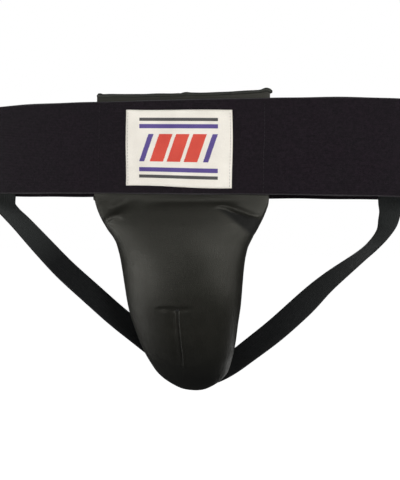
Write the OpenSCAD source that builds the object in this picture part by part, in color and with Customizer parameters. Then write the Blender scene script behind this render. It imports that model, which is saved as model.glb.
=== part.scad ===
// Groin protector for boxing and martial arts: a padded cup on a wide elastic waistband with two
// elastic leg straps. Units are millimetres. The origin is the centre of the waist opening at the
// middle of the waistband's height, -Y is the wearer's front, +X their left and +Z is up.

/* [Waistband] */
// Half of the waist loop's width, side to side
loop_half_w = 221; // [170:1:260]
// Half of the waist loop's depth, front to back
loop_half_d = 38; // [25:1:120]
// Roundness of the waist loop seen from above: 2 is an ellipse, 4 is nearly a rectangle
loop_round = 2.6; // [2:0.1:4]
// Height of the waistband elastic
band_h = 89; // [50:1:110]
// Thickness of the waistband elastic
band_t = 1.8; // [1:0.1:3]
// Length by which the elastic's two ends lap at centre back
lap_len = 30; // [15:1:60]

/* [Label] */
// Width of the woven label
label_w = 102; // [40:1:110]
// Height of the woven label
label_h = 74; // [30:1:80]
// Thickness of the woven label
label_t = 0.7; // [0.4:0.1:1.2]

/* [Panel and cup] */
// Thickness of the vinyl cover
cover_t = 1.3; // [0.8:0.1:2]
// Thickness of the panel's padding behind the waistband
panel_pad_t = 3; // [1:0.5:6]
// Thickness of the cup's shock foam
foam_t = 5; // [3:0.5:8]
// Wall of the hard cup
shell_t = 3; // [2:0.5:4]
// Thickness of the lining against the body
lining_t = 1; // [0.6:0.1:2]
// Radius of the piping round the cup's rear edge
piping_r = 2.3; // [1.5:0.1:3]
// Roundness of the cup's cross-section: 2 is an ellipse
cup_round = 2.3; // [2:0.1:3]

/* [Leg straps] */
// Width of the leg strap elastic
strap_w = 24; // [20:1:32]
// Thickness of the leg strap elastic
strap_t = 1.6; // [1:0.1:2.5]

/* [Anchor] */
// Width of the tab that holds the straps at the cup's tip
anchor_w = 30; // [24:1:50]
// Height of that tab
anchor_h = 14; // [12:1:24]
// Thickness of that tab
anchor_t = 1.8; // [1:0.1:3]

/* [Stitching] */
// Length of one stitch
stitch_len = 3.2; // [2:0.1:4]
// Distance from one stitch to the next
stitch_pitch = 5; // [4:0.5:8]
// Thread thickness
thread_t = 0.5; // [0.3:0.1:0.8]
// How far the panel's two seam rows stand from the middle
panel_seam_x = 80; // [60:1:82]

/* [Hidden] */

gap = 0.3;                       // clearance between neighbouring pieces
step_u = 16.4;                   // length of the last stretches of the cup's front line
tip_len = 1.6;                   // stretch over which the cup rounds off at its tip
tip_u = 19;                      // end of the cup's front line
panel_end_u = 4.85;              // where the panel stops above the flex line
cup_start_u = 5.6;               // where the cup starts below the flex line
hem_z = -band_h / 2;
label_z = -1.2;                  // middle of the label
foam_in = cover_t + gap;
shell_in = foam_in + foam_t + gap;
lining_in = shell_in + shell_t + gap;
piping_room = 2 * piping_r + 2 * gap;
tip_blunt = 0.08;                // width left at the tip, as a fraction
nose_r = 6;                      // radius from the front line into the tip's end wall
anchor_gap = 1.2;                // clearance between the cup's tip and the anchor tab
anchor_rise = 4.5;               // the tab's middle above the middle of the tip's wall

// The front line from the panel's top edge to the cup's tip:
// [y, z, half width, crown depth, depth of the side wall behind the widest point]
STATIONS = [
    [-35.7,   48.5, 84.0,  1.6,  5.0],
    [-35.7,   30.0, 84.0,  1.6,  5.0],
    [-35.7,    0.0, 84.2,  1.6,  5.0],
    [-35.7,  -28.0, 84.6,  1.6,  5.0],
    [-36.2,  -46.0, 84.8,  2.2,  5.5],
    [-38.6,  -54.5, 82.9,  5.0,  6.5],
    [-43.0,  -65.5, 77.0, 10.0,  8.0],
    [-47.0,  -77.0, 69.8, 16.0,  9.0],
    [-49.5,  -90.0, 63.8, 22.0, 10.0],
    [-50.3, -104.0, 61.4, 27.0, 10.0],
    [-48.0, -122.0, 59.6, 30.0,  9.0],
    [-43.0, -140.0, 58.2, 30.0,  9.0],
    [-36.0, -155.0, 57.0, 28.5,  9.5],
    [-27.0, -170.0, 55.5, 27.0, 10.0],
    [-16.5, -186.0, 52.8, 25.5, 10.0],
    [ -6.0, -200.0, 50.3, 23.5, 10.0],
    [  5.0, -213.5, 47.3, 22.0,  9.5],
    [ 18.0, -226.0, 43.0, 19.0, 10.0],
    [ 32.0, -239.0, 36.0, 14.5, 11.5],
    [ 46.0, -249.5, 27.5,  9.0, 14.0]
];

// Middle line of each leg strap: [x, y, z] and the direction of its width
LEFT_LINE = [
    [-206, 12.5, -8], [-206, 12.5, -28], [-206, 13, -44], [-205, 14, -54],
    [-199, 16, -62.5], [-187.5, 18, -73.5], [-165, 23, -97.5], [-140.5, 28, -122.5],
    [-112.3, 34, -147.5], [-84.5, 41, -172], [-58, 49, -193.5], [-36, 59.5, -213.5],
    [-22.5, 65.4, -230.4], [-10, 60.8, -237]
];
LEFT_WIDE = [
    [0.80, 0.60, 0], [0.80, 0.60, 0], [0.76, 0.65, 0.05], [0.55, 0.76, 0.25],
    [0.34, 0.82, 0.40], [0.34, 0.78, 0.50], [0.47, 0.67, 0.58], [0.53, 0.54, 0.66],
    [0.56, 0.45, 0.68], [0.58, 0.40, 0.69], [0.58, 0.38, 0.7], [0.6, 0.42, 0.68],
    [0.6, 0.42, 0.68], [0.6, 0.44, 0.66]
];
RIGHT_LINE = [
    [196, 16.5, -8], [196, 16.5, -28], [196.3, 17, -44], [196.5, 18, -55],
    [194.5, 19, -66], [190, 21, -77.5], [181, 24, -89.5], [168.5, 27, -101.5],
    [138, 33, -127.5], [112.8, 39, -153], [86, 45, -179], [58, 53, -203],
    [38, 62.2, -219.7], [22, 65.7, -230], [9, 62.5, -234.5]
];
RIGHT_WIDE = [
    [0.94, -0.34, 0], [0.94, -0.34, 0], [0.88, -0.46, -0.07], [0.76, -0.60, -0.18],
    [0.67, -0.67, -0.31], [0.38, -0.84, -0.39], [0.2, -0.88, -0.42], [0.18, -0.87, -0.44],
    [0.42, -0.66, -0.6], [0.62, -0.28, -0.7], [0.66, -0.22, -0.71], [0.6, -0.34, -0.7],
    [0.52, -0.42, -0.72], [0.46, -0.48, -0.74], [0.4, -0.5, -0.76]
];
strap_steps = 3;                 // divisions between two points of a strap's line

function clamp(v, lo, hi) = min(max(v, lo), hi);
function unit(v) = v / norm(v);
function signed_pow(v, p) = sign(v) * pow(abs(v), p);

// A smooth curve through a list of rows, at a position counted in rows
function spline(rows, u) =
    let (
        n = len(rows) - 1,
        i = clamp(floor(u), 0, n - 1),
        t = u - i,
        p0 = i > 0 ? rows[i - 1] : 2 * rows[0] - rows[1],
        p1 = rows[i],
        p2 = rows[i + 1],
        p3 = i < n - 1 ? rows[i + 2] : 2 * rows[n] - rows[n - 1]
    )
    0.5 * (2 * p1 + (p2 - p0) * t + (2 * p0 - 5 * p1 + 4 * p2 - p3) * t * t
        + (3 * p1 - p0 - 3 * p2 + p3) * t * t * t);

// Waist loop: a point and its outward normal, seen from above
function loop_at(a) = [
    loop_half_w * signed_pow(cos(a), 2 / loop_round),
    loop_half_d * signed_pow(sin(a), 2 / loop_round)
];
function loop_normal(a) =
    let (e = 2 - 2 / loop_round)
    unit([signed_pow(cos(a), e) / loop_half_w, signed_pow(sin(a), e) / loop_half_d]);
function loop_point(a, z, out) =
    let (p = loop_at(a) + out * loop_normal(a))
    [p[0], p[1], z];
function front_y(x) =
    -loop_half_d * pow(1 - pow(abs(x) / loop_half_w, loop_round), 1 / loop_round);
function front_turn(x) = atan2(front_y(x + 0.5) - front_y(x - 0.5), 1);

// Cup and panel: a point given by its place on the front line, across it and into the body
function line_dir(u) =
    let (s = spline(STATIONS, u + 0.02) - spline(STATIONS, u - 0.02))
    unit([s[0], s[1]]);
function into_body(u) =
    let (d = line_dir(u))
    [0, -d[1], d[0]];
function on_body(u, x, depth) =
    let (s = spline(STATIONS, u))
    [x, s[0], s[1]] + depth * into_body(u);

// How much of the width is left as the cup rounds off at its tip
function tip_part(u, end_u) =
    u <= end_u - tip_len ? 1
        : sqrt(max(0, 1 - pow((u - end_u + tip_len) / tip_len, 2)));
function end_of(inset) = tip_u - inset / step_u;
function half_width(u, inset, end_u) =
    let (part = end_u > 0 ? max(tip_blunt, tip_part(u, end_u)) : 1)
    (spline(STATIONS, u)[2] - inset) * part;
function rim_depth(u) = spline(STATIONS, u)[3] + spline(STATIONS, u)[4];
function crown(u, inset, end_u) =
    let (part = end_u > 0 ? 0.2 + 0.8 * tip_part(u, end_u) : 1)
    max(0.8, spline(STATIONS, u)[3] * part - inset);

// How far the front line turns into the body as it ends
function nose(u, end_u) =
    let (
        len_u = nose_r / step_u,
        x = end_u > 0 ? clamp((u - end_u + len_u) / len_u, 0, 1) : 0
    )
    nose_r * (1 - sqrt(1 - x * x));

// One cross-section of a shell at an inset from the cover, from its left edge to its right edge
function section(u, inset, end_u, edge, narrow, steps) =
    let (
        w = min(half_width(u, inset, end_u), narrow),
        c = crown(u, inset, end_u),
        front = inset + nose(u, end_u),
        deep = max(rim_depth(u) - edge, front + c + 0.5)
    )
    concat(
        [on_body(u, -w, deep)],
        [for (k = [0:steps])
            let (t = -90 + 180 * k / steps)
            on_body(u, w * signed_pow(sin(t), 2 / cup_round),
                front + c * (1 - pow(max(0, cos(t)), 2 / cup_round)))],
        [on_body(u, w, deep)]
    );

// Positions along the front line, closer together where the tip rounds off
function rows_to(start_u, end_u, n, m) = concat(
    [for (i = [0:n]) start_u + (end_u - tip_len - start_u) * i / n],
    [for (i = [1:m]) end_u - tip_len + tip_len * sin(90 * i / m)]
);
function rows_even(start_u, end_u, n) =
    [for (i = [0:n]) start_u + (end_u - start_u) * i / n];

// Closes two equal grids of points into one solid
module between_grids(outer, inner) {
    rows = len(outer);
    cols = len(outer[0]);
    size = rows * cols;
    points = concat([for (r = outer) for (p = r) p], [for (r = inner) for (p = r) p]);
    quads = concat(
        [for (i = [0:rows - 2]) for (j = [0:cols - 2])
            [i * cols + j, i * cols + j + 1, (i + 1) * cols + j + 1, (i + 1) * cols + j]],
        [for (i = [0:rows - 2]) for (j = [0:cols - 2])
            [size + i * cols + j, size + (i + 1) * cols + j,
             size + (i + 1) * cols + j + 1, size + i * cols + j + 1]],
        [for (i = [0:rows - 2])
            [i * cols, (i + 1) * cols, size + (i + 1) * cols, size + i * cols]],
        [for (i = [0:rows - 2])
            [i * cols + cols - 1, size + i * cols + cols - 1,
             size + (i + 1) * cols + cols - 1, (i + 1) * cols + cols - 1]],
        [for (j = [0:cols - 2]) [j, size + j, size + j + 1, j + 1]],
        [for (j = [0:cols - 2])
            let (k = (rows - 1) * cols + j)
            [k, k + 1, size + k + 1, size + k]]
    );
    faces = [for (q = quads) each [[q[0], q[1], q[2]], [q[0], q[2], q[3]]]];
    polyhedron(points = points, faces = faces, convexity = 8);
}

// A shell of the cup that ends in the rounded tip
module cup_shell(start_u, outer_in, inner_in, edge, narrow = 999, rows = 20, steps = 18) {
    a = rows_to(start_u, end_of(outer_in), rows, 6);
    b = rows_to(start_u, end_of(inner_in), rows, 6);
    between_grids(
        [for (u = a) section(u, outer_in, end_of(outer_in), edge, narrow, steps)],
        [for (u = b) section(u, inner_in, end_of(inner_in), edge, narrow - inner_in + outer_in,
            steps)]
    );
}

// A flat layer of the panel behind the waistband
module panel_layer(outer_in, inner_in, edge) {
    us = rows_even(0, panel_end_u, 9);
    between_grids(
        [for (u = us) section(u, outer_in, 0, edge, 999, 14)],
        [for (u = us) section(u, inner_in, 0, edge, 999, 14)]
    );
}

// A tube with an oval section along a line; "side" is the direction of its first radius
module tube(line, side, r_side, r_other, sides = 8) {
    n = len(line);
    points = [for (i = [0:n - 1])
        let (
            d = unit(line[min(i + 1, n - 1)] - line[max(i - 1, 0)]),
            other = unit(cross(d, side[i])),
            first = cross(other, d)
        )
        for (k = [0:sides - 1])
            line[i] + first * r_side * cos(360 * k / sides)
                + other * r_other * sin(360 * k / sides)];
    walls = [for (i = [0:n - 2]) for (k = [0:sides - 1])
        let (
            k2 = (k + 1) % sides,
            a = i * sides + k,
            b = i * sides + k2,
            c = (i + 1) * sides + k2,
            e = (i + 1) * sides + k
        )
        each [[a, b, c], [a, c, e]]];
    caps = [
        [for (k = [sides - 1:-1:0]) k],
        [for (k = [0:sides - 1]) (n - 1) * sides + k]
    ];
    polyhedron(points = points, faces = [for (f = concat(walls, caps)) [f[2], f[1], f[0],
        each [for (k = [len(f) - 1:-1:3]) f[k]]]], convexity = 6);
}

// A line round the cup's rear edge, down the left side and up the right one
function edge_rows(start_u, inset) =
    let (down = rows_to(start_u, end_of(inset), 16, 6), n = len(down))
    concat([for (u = down) [u, -1]], [for (i = [n - 2:-1:0]) [down[i], 1]]);
function edge_line(rows, inset, edge) =
    [for (r = rows)
        let (w = (spline(STATIONS, r[0])[2] - inset) * tip_part(r[0], end_of(inset)))
        on_body(r[0], r[1] * w, rim_depth(r[0]) - edge)];

// A flat strap along a line, with its width laid along the given directions
module ribbon(line, wide, w, t) {
    n = (len(line) - 1) * strap_steps;
    frames = [for (i = [0:n])
        let (
            u = i / strap_steps,
            p = spline(line, u),
            d = unit(spline(line, u + 0.05) - spline(line, u - 0.05)),
            raw = spline(wide, u),
            x = unit(raw - (raw * d) * d)
        )
        [p, x, cross(d, x)]];
    between_grids(
        [for (f = frames) [f[0] - f[1] * w / 2 + f[2] * t / 2, f[0] + f[1] * w / 2 + f[2] * t / 2]],
        [for (f = frames) [f[0] - f[1] * w / 2 - f[2] * t / 2, f[0] + f[1] * w / 2 - f[2] * t / 2]]
    );
}

// A plain straight stitch, upright
module stitch(len = stitch_len) {
    translate([-thread_t / 2, 0, -len / 2]) cube([thread_t, thread_t, len]);
}

// An upright row of stitches on the front of the waistband
module front_row(x, height, lift) {
    count = floor(height / stitch_pitch);
    for (i = [0:count - 1])
        translate([x, front_y(x) - lift - thread_t, (i - (count - 1) / 2) * stitch_pitch])
            rotate([0, 0, front_turn(x)]) stitch();
}

module waistband() {
    lap_angle = acos(pow(lap_len / 2 / loop_half_w, loop_round / 2));
    start_a = lap_angle;
    end_a = 450 + (90 - lap_angle);
    angles = concat([start_a], [for (a = [90:3:450]) a], [end_a]);
    lift = [for (a = angles) (band_t + gap) * clamp((a - 438) / 9, 0, 1)];
    color([0.13, 0.12, 0.13])
        between_grids(
            [for (i = [0:len(angles) - 1]) [
                loop_point(angles[i], hem_z, lift[i]),
                loop_point(angles[i], -hem_z, lift[i])]],
            [for (i = [0:len(angles) - 1]) [
                loop_point(angles[i], hem_z, lift[i] - band_t),
                loop_point(angles[i], -hem_z, lift[i] - band_t)]]
        );
}

module waistband_join_stitching() {
    rows_x = [-10, 10];
    count = floor((band_h - 8) / stitch_pitch);
    color([0.2, 0.2, 0.21])
        for (x = rows_x) for (i = [0:count - 1])
            translate([x, -front_y(x) + band_t + 2 * gap, (i - (count - 1) / 2) * stitch_pitch])
                rotate([0, (i % 2 == 0 ? 40 : -40), 0]) stitch();
}

module label() {
    columns = 14;
    xs = [for (i = [0:columns]) -label_w / 2 + label_w * i / columns];
    back = 0.15;
    color([0.91, 0.9, 0.86])
        between_grids(
            [for (x = xs) [
                [x, front_y(x) - back - label_t, label_z - label_h / 2],
                [x, front_y(x) - back - label_t, label_z + label_h / 2]]],
            [for (x = xs) [
                [x, front_y(x) - back, label_z - label_h / 2],
                [x, front_y(x) - back, label_z + label_h / 2]]]
        );
}

module label_stitching() {
    color([0.86, 0.85, 0.82])
        for (side = [-1, 1])
            front_row(side * (label_w / 2 - 3), label_h - 2, label_t + gap);
}

module panel_cover() {
    color([0.22, 0.22, 0.21]) panel_layer(0, cover_t, 0);
}

module panel_padding() {
    color([0.75, 0.74, 0.7]) panel_layer(cover_t + gap, cover_t + gap + panel_pad_t, 0.8);
}

module panel_lining() {
    inset = cover_t + 2 * gap + panel_pad_t;
    color([0.12, 0.12, 0.13]) panel_layer(inset, inset + lining_t - 0.3, 0);
}

module panel_top_binding() {
    columns = 20;
    reach = 84;
    ear = 1.8;
    rise = 1.5;
    xs = [for (i = [0:columns]) -reach + 2 * reach * i / columns];
    line = [for (x = xs)
        [x, STATIONS[0][0] + 3.3 + 1.6 * pow(abs(x) / reach, 2),
         STATIONS[0][1] + gap + rise + ear * pow(abs(x) / reach, 8)]];
    color([0.25, 0.25, 0.24]) tube(line, [for (x = xs) [0, 1, 0]], 3.6, rise, 10);
}

module panel_stitching() {
    color([0.3, 0.3, 0.31])
        for (side = [-1, 1]) front_row(side * panel_seam_x, band_h - 4, 0.15);
}

module leg_strap_left() {
    color([0.13, 0.13, 0.14]) ribbon(LEFT_LINE, LEFT_WIDE, strap_w, strap_t);
}

module leg_strap_right() {
    color([0.13, 0.13, 0.14]) ribbon(RIGHT_LINE, RIGHT_WIDE, strap_w, strap_t);
}

// Two short rows that hold a strap's upper end inside the waistband
module strap_tack(line, wide) {
    away = unit(cross(wide[1], [0, 0, 1]));
    inward = away[1] > 0 ? -away : away;
    for (row = [0:1]) for (k = [-1:1])
        translate(line[1] + [0, 0, 12 - row * 10] + wide[1] * k * 7
            + inward * (strap_t / 2 + 0.2))
            rotate([0, 0, atan2(inward[1], inward[0]) - 90]) rotate([0, 90, 0]) stitch();
}

module strap_stitching_left() {
    color([0.3, 0.3, 0.31]) strap_tack(LEFT_LINE, LEFT_WIDE);
}

module strap_stitching_right() {
    color([0.3, 0.3, 0.31]) strap_tack(RIGHT_LINE, RIGHT_WIDE);
}

module cup_cover() {
    color([0.2, 0.2, 0.19]) cup_shell(cup_start_u, 0, cover_t, piping_room, 999, 22, 22);
}

module cup_foam() {
    color([0.72, 0.7, 0.62])
        cup_shell(cup_start_u + 0.1, foam_in, foam_in + foam_t, piping_room + gap);
}

// The hard cup starts lower than the cover and is narrower at its top edge
module hard_cup() {
    start_u = 6.9;
    color([0.16, 0.16, 0.18])
        cup_shell(start_u, shell_in, shell_in + shell_t, piping_room + 1);
}

module cup_lining() {
    color([0.1, 0.1, 0.11])
        cup_shell(cup_start_u + 0.2, lining_in, lining_in + lining_t, 0.6);
}

module rim_cushion() {
    r_side = 1;
    r_deep = 2.3;
    inset = shell_in + 1.3;
    rows = edge_rows(7, inset);
    color([0.1, 0.1, 0.11])
        tube(edge_line(rows, inset, r_deep + gap), [for (r = rows) into_body(r[0])],
            r_deep, r_side, 8);
}

module cup_piping() {
    inset = piping_r + 0.2;
    rows = edge_rows(cup_start_u, inset);
    color([0.17, 0.17, 0.17])
        tube(edge_line(rows, inset, piping_r + 1.2 * gap), [for (r = rows) into_body(r[0])],
            piping_r, piping_r, 8);
}

// Short seam that shapes the cup's front, with a bar tack at its upper end
module dart_stitching() {
    count = 13;
    first_u = 12.15;
    last_u = 15.95;
    color([0.1, 0.1, 0.1]) {
        for (i = [0:count - 1])
            let (
                u = first_u + (last_u - first_u) * i / (count - 1),
                d = line_dir(u)
            )
            translate(on_body(u, 0, -gap - thread_t / 2))
                rotate([atan2(d[1], d[0]) + 90, 0, 0])
                    cube([thread_t, thread_t, stitch_len], center = true);
        translate(on_body(first_u - 0.2, 0, -gap - thread_t))
            rotate([atan2(line_dir(first_u)[1], line_dir(first_u)[0]) + 90, 0, 0])
                cube([3, thread_t, 1], center = true);
    }
}

// The tab stands across the cup's tip; the straps end on its outer face
module at_anchor(out) {
    d = line_dir(tip_u);
    c = on_body(tip_u, 0, rim_depth(tip_u) / 2 + anchor_rise);
    translate(c + out * [0, d[0], d[1]]) rotate([atan2(d[1], d[0]) - 90, 0, 0]) children();
}

module strap_anchor() {
    color([0.16, 0.16, 0.16])
        at_anchor(anchor_gap + anchor_t / 2)
            cube([anchor_w, anchor_h, anchor_t], center = true);
}

module anchor_stitching() {
    color([0.1, 0.1, 0.1])
        at_anchor(anchor_gap + anchor_t + strap_t + 3.5 * gap + thread_t / 2)
            for (row = [-1, 1]) for (k = [-2:2])
                translate([k * stitch_pitch, row * (anchor_h / 2 - 4), 0])
                    cube([stitch_len, thread_t, thread_t], center = true);
}

waistband();
waistband_join_stitching();
label();
label_stitching();
panel_cover();
panel_padding();
panel_lining();
panel_top_binding();
panel_stitching();
leg_strap_left();
leg_strap_right();
strap_stitching_left();
strap_stitching_right();
cup_cover();
cup_foam();
hard_cup();
rim_cushion();
cup_lining();
cup_piping();
dart_stitching();
strap_anchor();
anchor_stitching();
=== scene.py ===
"""Groin protector: the visual model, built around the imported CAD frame.

Metres, +Z up, -Y the wearer's front. Shapes follow the same waist loop and front line as the CAD.
"""
import math

import bmesh
import bpy
import numpy as np
from mathutils import Matrix, Vector


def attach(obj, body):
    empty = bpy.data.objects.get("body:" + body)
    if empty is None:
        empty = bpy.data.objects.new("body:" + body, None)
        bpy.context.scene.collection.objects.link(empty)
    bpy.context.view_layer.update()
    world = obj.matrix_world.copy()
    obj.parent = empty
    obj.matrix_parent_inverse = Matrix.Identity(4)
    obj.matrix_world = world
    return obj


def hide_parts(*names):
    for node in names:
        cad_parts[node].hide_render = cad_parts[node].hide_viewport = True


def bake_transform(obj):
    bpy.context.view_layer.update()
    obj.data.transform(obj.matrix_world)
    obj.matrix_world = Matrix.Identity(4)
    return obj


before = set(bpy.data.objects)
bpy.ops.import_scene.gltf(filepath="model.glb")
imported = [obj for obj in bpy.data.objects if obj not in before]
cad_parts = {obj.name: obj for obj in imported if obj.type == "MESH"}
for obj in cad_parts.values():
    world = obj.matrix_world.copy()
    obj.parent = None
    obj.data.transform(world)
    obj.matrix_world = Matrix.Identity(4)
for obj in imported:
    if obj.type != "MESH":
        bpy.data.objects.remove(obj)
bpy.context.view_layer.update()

MM = 0.001

# ---- sizes, in mm
LOOP_W, LOOP_D, LOOP_N = 221.0, 38.0, 2.6
BAND_H, BAND_T, LAP = 89.0, 1.8, 30.0
REAR_RISE = 1.2  # how much higher the back of the loop hangs than its front
LABEL_W, LABEL_H, LABEL_T = 102.8, 72.5, 0.7
LABEL_X, LABEL_Z = -0.9, -0.5
LABEL_SAG, LABEL_LEAN = 2.3, 1.3  # sewn on a little out of square, in mm at the corners
COVER_T = 1.3
STRAP_W, STRAP_T = 24.0, 1.6
STEP_U, TIP_LEN, TIP_U = 16.4, 1.6, 19.0
PANEL_END_U, CUP_START_U = 4.85, 5.6
CUP_N = 2.3
WALL_V = 0.86  # share of a row across the cover that is its front; the rest is side wall
TAB_W, TAB_H, TAB_T, TAB_RISE = 30.0, 14.0, 1.8, 4.5
SEAM_X = 80.0  # the seams that hold the band to the panel

# the front line from the panel's top edge to the tip:
# y, z, half width, crown depth, depth of the side wall
STATIONS = np.array([
    [-35.7, 48.5, 84.0, 1.6, 5.0],
    [-35.7, 30.0, 84.0, 1.6, 5.0],
    [-35.7, 0.0, 84.2, 1.6, 5.0],
    [-35.7, -28.0, 84.6, 1.6, 5.0],
    [-36.2, -46.0, 84.8, 2.2, 5.5],
    [-38.6, -54.5, 82.9, 5.0, 6.5],
    [-43.0, -65.5, 77.0, 10.0, 8.0],
    [-47.0, -77.0, 69.8, 16.0, 9.0],
    [-49.5, -90.0, 63.8, 22.0, 10.0],
    [-50.3, -104.0, 61.4, 27.0, 10.0],
    [-48.0, -122.0, 59.6, 30.0, 9.0],
    [-43.0, -140.0, 58.2, 30.0, 9.0],
    [-36.0, -155.0, 57.0, 28.5, 9.5],
    [-27.0, -170.0, 55.5, 27.0, 10.0],
    [-16.5, -186.0, 52.8, 25.5, 10.0],
    [-6.0, -200.0, 50.3, 23.5, 10.0],
    [5.0, -213.5, 47.3, 22.0, 9.5],
    [18.0, -226.0, 43.0, 19.0, 10.0],
    [32.0, -239.0, 36.0, 14.5, 11.5],
    [46.0, -249.5, 27.5, 9.0, 14.0],
])

LEFT_LINE = np.array([
    [-206, 12.5, -8], [-206, 12.5, -28], [-206, 13, -44], [-205, 14, -54],
    [-199, 16, -62.5], [-187.5, 18, -73.5], [-165, 23, -97.5], [-140.5, 28, -122.5],
    [-112.3, 34, -147.5], [-84.5, 41, -172], [-58, 49, -193.5], [-36, 59.5, -213.5],
    [-22.5, 65.4, -230.4], [-10, 60.8, -237]], float)
LEFT_WIDE = np.array([
    [0.80, 0.60, 0], [0.80, 0.60, 0], [0.76, 0.65, 0.05], [0.55, 0.76, 0.25],
    [0.34, 0.82, 0.40], [0.34, 0.78, 0.50], [0.47, 0.67, 0.58], [0.53, 0.54, 0.66],
    [0.56, 0.45, 0.68], [0.58, 0.40, 0.69], [0.58, 0.38, 0.7], [0.6, 0.42, 0.68],
    [0.6, 0.42, 0.68], [0.6, 0.44, 0.66]], float)
RIGHT_LINE = np.array([
    [196, 16.5, -8], [196, 16.5, -28], [196.3, 17, -44], [196.5, 18, -55],
    [194.5, 19, -66], [190, 21, -77.5], [181, 24, -89.5], [168.5, 27, -101.5],
    [138, 33, -127.5], [112.8, 39, -153], [86, 45, -179], [58, 53, -203],
    [38, 62.2, -219.7], [22, 65.7, -230], [9, 62.5, -234.5]], float)
RIGHT_WIDE = np.array([
    [0.94, -0.34, 0], [0.94, -0.34, 0], [0.88, -0.46, -0.07], [0.76, -0.60, -0.18],
    [0.67, -0.67, -0.31], [0.38, -0.84, -0.39], [0.2, -0.88, -0.42], [0.18, -0.87, -0.44],
    [0.42, -0.66, -0.6], [0.62, -0.28, -0.7], [0.66, -0.22, -0.71], [0.6, -0.34, -0.7],
    [0.52, -0.42, -0.72], [0.46, -0.48, -0.74], [0.4, -0.5, -0.76]], float)


# ---- curves and surfaces
def spline(rows, u):
    """A smooth curve through rows, at positions counted in rows; u may be an array."""
    rows = np.asarray(rows, float)
    u = np.asarray(u, float)
    n = len(rows) - 1
    i = np.clip(np.floor(u).astype(int), 0, n - 1)
    t = (u - i)[..., None]
    p1, p2 = rows[i], rows[i + 1]
    p0 = np.where((i > 0)[..., None], rows[np.maximum(i - 1, 0)], 2 * rows[0] - rows[1])
    p3 = np.where((i < n - 1)[..., None], rows[np.minimum(i + 2, n)],
                  2 * rows[n] - rows[n - 1])
    return 0.5 * (2 * p1 + (p2 - p0) * t + (2 * p0 - 5 * p1 + 4 * p2 - p3) * t * t
                  + (3 * p1 - p0 - 3 * p2 + p3) * t ** 3)


def unit(v):
    return v / np.maximum(np.linalg.norm(v, axis=-1, keepdims=True), 1e-12)


def spow(v, p):
    return np.sign(v) * np.abs(v) ** p


def smooth(x, lo, hi):
    t = np.clip((np.asarray(x, float) - lo) / (hi - lo), 0, 1)
    return t * t * (3 - 2 * t)


def bump_at(x, centre, width):
    return np.exp(-((x - centre) / width) ** 2)


def lengths(line):
    """Length along a line of points, at each of them."""
    return np.concatenate([[0], np.cumsum(np.linalg.norm(np.diff(line, axis=0), axis=1))])


# the waist loop as a polyline with its length, from centre back round the left, front and right
_a = np.radians(np.linspace(90, 450, 7201))
_LOOP = np.stack([LOOP_W * spow(np.cos(_a), 2 / LOOP_N), LOOP_D * spow(np.sin(_a), 2 / LOOP_N)], 1)
_LOOP_S = lengths(_LOOP)
LOOP_LEN = _LOOP_S[-1]


def loop_at(s):
    """(points, outward normals) of the waist loop at lengths s from centre back."""
    s = np.asarray(s, float)
    wrapped = np.mod(s, LOOP_LEN)
    p = np.stack([np.interp(wrapped, _LOOP_S, _LOOP[:, k]) for k in (0, 1)], -1)
    n = np.stack([spow(p[..., 0] / LOOP_W, LOOP_N - 1) / LOOP_W,
                  spow(p[..., 1] / LOOP_D, LOOP_N - 1) / LOOP_D], -1)
    return p, unit(n)


def loop_s_near(x, y):
    return _LOOP_S[np.argmin(np.hypot(_LOOP[:, 0] - x, _LOOP[:, 1] - y))]


def front_y(x):
    return -LOOP_D * (1 - (np.abs(x) / LOOP_W) ** LOOP_N) ** (1 / LOOP_N)


def front_out(x):
    """Which way the front of the loop faces at x."""
    return front_y(x + 0.5) - front_y(x - 0.5), -1, 0


def line_dir(u):
    return unit((spline(STATIONS, u + 0.02) - spline(STATIONS, u - 0.02))[..., :2])


def on_body(u, x, depth):
    """Point at u along the front line, x across, depth into the body."""
    s, d = spline(STATIONS, u), line_dir(u)
    x, depth = np.broadcast_arrays(np.asarray(x, float), np.asarray(depth, float))
    return np.stack([x, s[..., 0] - depth * d[..., 1], s[..., 1] + depth * d[..., 0]], -1)


def tip_part(u, end_u):
    x = np.clip((u - end_u + TIP_LEN) / TIP_LEN, 0, 1)
    return np.sqrt(np.maximum(1 - x * x, 0))


def end_of(inset):
    return TIP_U - inset / STEP_U


def rim_depth(u):
    s = spline(STATIONS, u)
    return s[..., 3] + s[..., 4]


def nose(u, end_u, radius):
    x = np.clip((u - end_u + radius / STEP_U) * STEP_U / radius, 0, 1)
    return radius * (1 - np.sqrt(np.maximum(1 - x * x, 0)))


def body_grid(us, vs, inset, edge, radius):
    """Grid of points: us down the front line, vs across it; the rear edges are at -1 and 1."""
    u = np.asarray(us)[:, None] * np.ones(len(vs))[None]
    v = np.asarray(vs)[None] * np.ones(len(us))[:, None]
    inset = np.asarray(inset, float) * np.ones_like(u)
    end_u = end_of(inset)
    u = np.minimum(u, end_u)
    s = spline(STATIONS, u)
    w = (s[..., 2] - inset) * np.maximum(0.05, tip_part(u, end_u))
    c = np.maximum(0.8, s[..., 3] * (0.2 + 0.8 * tip_part(u, end_u)) - inset)
    front = inset + nose(u, end_u, radius)
    t = np.clip(v / WALL_V, -1, 1) * math.pi / 2
    x = w * spow(np.sin(t), 2 / CUP_N)
    q = front + c * (1 - np.maximum(np.cos(t), 0) ** (2 / CUP_N))
    deep = np.maximum(s[..., 3] + s[..., 4] - edge, front + c + 0.5)
    wall = np.clip((np.abs(v) - WALL_V) / (1 - WALL_V), 0, 1)
    q = q + wall * (deep - q)
    return on_body(u, x, q)


def front_normals(g):
    """Normals of a grid of points, turned so that the middle one looks to the front."""
    n = unit(np.cross(np.gradient(g, axis=0), np.gradient(g, axis=1)))
    return n * -np.sign(n[len(g) // 2, len(g[0]) // 2, 1])


# ---- meshes
def linked(name, data):
    """A new object in the scene."""
    o = bpy.data.objects.new(name, data)
    bpy.context.scene.collection.objects.link(o)
    return o


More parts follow.
